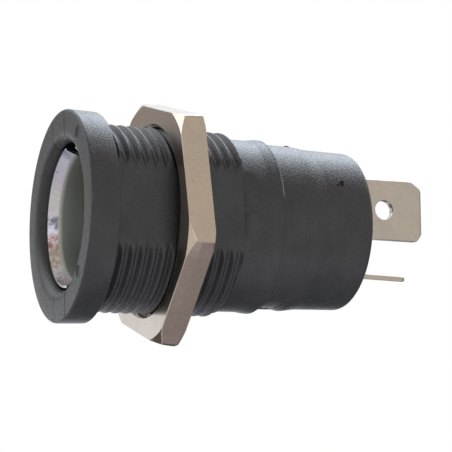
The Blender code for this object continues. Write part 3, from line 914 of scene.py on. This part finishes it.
# Patches of the reflected studio: the way each one lies, the cosines from that way at which it
# starts and is full, and its colour. A later patch covers an earlier one.
BACK_WALL = (1.06, 1.08, 1.16)
BACK_WALL_PATCHES = (
    ((0, 0, 1), 0.155, 0.195, (0.29, 0.265, 0.245)),
    ((0, 0, 1), 0.28, 0.37, (0.86, 0.91, 0.97)),
)
ROOM = (0.62, 0.57, 0.51)
ROOM_PATCHES = (
    ((-1, 0, 0), 0.5, 0.95, (0.80, 0.76, 0.70)),
    ((0.38, 0.41, 0.82), 0.89, 0.985, (4.1, 4.5, 5.05)),
    ((-0.60, 0.43, 0.67), 0.88, 0.95, (1.9, 1.9, 1.95)),
    ((0.20, 0, -1), 0.55, 0.90, (0.52, 0.46, 0.49)),
    ((0.55, 0.50, -0.67), 0.68, 0.88, (0.10, 0.10, 0.105)),
    ((-0.45, 0.80, -0.40), 0.92, 0.97, (0.10, 0.08, 0.07)),
    ((1.0, 0.25, -0.35), 0.80, 0.92, (0.2, 0.2, 0.2)),
    ((-0.40, -0.89, 0.19), 0.90, 0.97, (0.95, 0.94, 0.98)),
)


def camera():
    """The camera sits below the axis, in front of the flange, and looks up along the barrel."""
    sin_yaw, cos_yaw = math.sin(CAMERA_YAW), math.cos(CAMERA_YAW)
    sin_pitch, cos_pitch = math.sin(CAMERA_PITCH), math.cos(CAMERA_PITCH)
    forward = Vector((sin_yaw * cos_pitch, cos_yaw * cos_pitch, sin_pitch))
    level = Vector((cos_yaw, -sin_yaw, 0.0))
    above = level.cross(forward)
    right = level * math.cos(CAMERA_ROLL) + above * math.sin(CAMERA_ROLL)
    up = above * math.cos(CAMERA_ROLL) - level * math.sin(CAMERA_ROLL)
    cam = bpy.data.cameras.new("camera")
    cam.sensor_width = CAMERA_SENSOR
    cam.lens = CAMERA_LENS
    cam.clip_start = 0.01
    cam.clip_end = 20.0
    ob = linked("camera", cam)
    place = Matrix((right, up, -forward)).transposed().to_4x4()
    place.translation = (Vector(CAMERA_TARGET) - forward * CAMERA_DISTANCE) * MM
    ob.matrix_world = place
    bpy.context.scene.camera = ob


def lamp(name, where, size, power, colour, aim):
    """A soft lamp that doesn't show in reflections, which come from the world instead."""
    light = bpy.data.lights.new(name, "AREA")
    light.shape = "DISK"
    light.size = size
    light.energy = power
    light.color = colour
    ob = linked(name, light)
    ob.location = where
    ob.rotation_euler = (Vector(aim) - Vector(where)).to_track_quat("-Z", "Y").to_euler()
    ob.visible_glossy = False


def patch(tree, below, way, low, high, colour):
    """Lays a soft-edged patch of colour over what the world shows below it."""
    links = tree.links
    dot = tree.nodes.new("ShaderNodeVectorMath")
    dot.operation = "DOT_PRODUCT"
    coords = tree.nodes.new("ShaderNodeTexCoord")
    links.new(coords.outputs["Generated"], dot.inputs[0])
    dot.inputs[1].default_value = Vector(way).normalized()
    fade = tree.nodes.new("ShaderNodeMapRange")
    fade.interpolation_type = "SMOOTHSTEP"
    fade.inputs["From Min"].default_value = low
    fade.inputs["From Max"].default_value = high
    links.new(dot.outputs["Value"], fade.inputs["Value"])
    mix = tree.nodes.new("ShaderNodeMix")
    mix.data_type = "RGBA"
    mix.clamp_result = False
    links.new(fade.outputs[0], mix.inputs[0])
    for socket, value in ((mix.inputs[6], below), (mix.inputs[7], colour)):
        if isinstance(value, tuple):
            socket.default_value = (*value, 1.0)
        else:
            links.new(value, socket)
    return mix.outputs[2]


def studio():
    """A world of soft patches, seen only in reflections. The camera itself sees white."""
    world = bpy.data.worlds.new("studio")
    bpy.context.scene.world = world
    world.use_nodes = True
    tree = world.node_tree
    tree.nodes.clear()
    wall = BACK_WALL
    for one in BACK_WALL_PATCHES:
        wall = patch(tree, wall, *one)
    room = patch(tree, ROOM, (0, 1, 0), -0.2, 0.6, wall)
    for one in ROOM_PATCHES:
        room = patch(tree, room, *one)
    links = tree.links
    light = tree.nodes.new("ShaderNodeBackground")
    links.new(room, light.inputs["Color"])
    seen = tree.nodes.new("ShaderNodeBackground")
    seen.inputs["Color"].default_value = WHITE
    mix = tree.nodes.new("ShaderNodeMixShader")
    links.new(tree.nodes.new("ShaderNodeLightPath").outputs["Is Camera Ray"], mix.inputs[0])
    links.new(light.outputs[0], mix.inputs[1])
    links.new(seen.outputs[0], mix.inputs[2])
    out = tree.nodes.new("ShaderNodeOutputWorld")
    links.new(mix.outputs[0], out.inputs["Surface"])
    world.cycles_visibility.diffuse = False


def stage():
    """The pale floor, the reflected studio and the lamps."""
    bm = bmesh.new()
    bmesh.ops.create_grid(bm, x_segments=1, y_segments=1, size=FLOOR_SIZE)
    bmesh.ops.translate(bm, verts=bm.verts, vec=(0, 0, FLOOR_Z))
    floor = raw_object("floor", bm)
    m = Nodes("pale_floor")
    colour = m.mix(m.noise(6.0, 2.0), (0.80, 0.80, 0.80), (0.84, 0.84, 0.84))
    normal = m.bump(m.noise(900.0), 0.0001, 0.2)
    floor.data.materials.append(m.done(
        colour, 0.7, normal, Specular_IOR_Level=0.1, Emission_Color=WHITE,
        Emission_Strength=0.62))
    floor.visible_glossy = False
    bpy.context.scene.view_settings.view_transform = "Standard"
    studio()
    for one in LAMPS:
        lamp(*one)


housing()
nut()
jaw("far_jaw_shell", "earth_jaw_far", 1, 172.0)
jaw("near_jaw_shell", "earth_jaw_near", -1, 135.0)
blades()
carrier()
repaint()
camera()
stage()
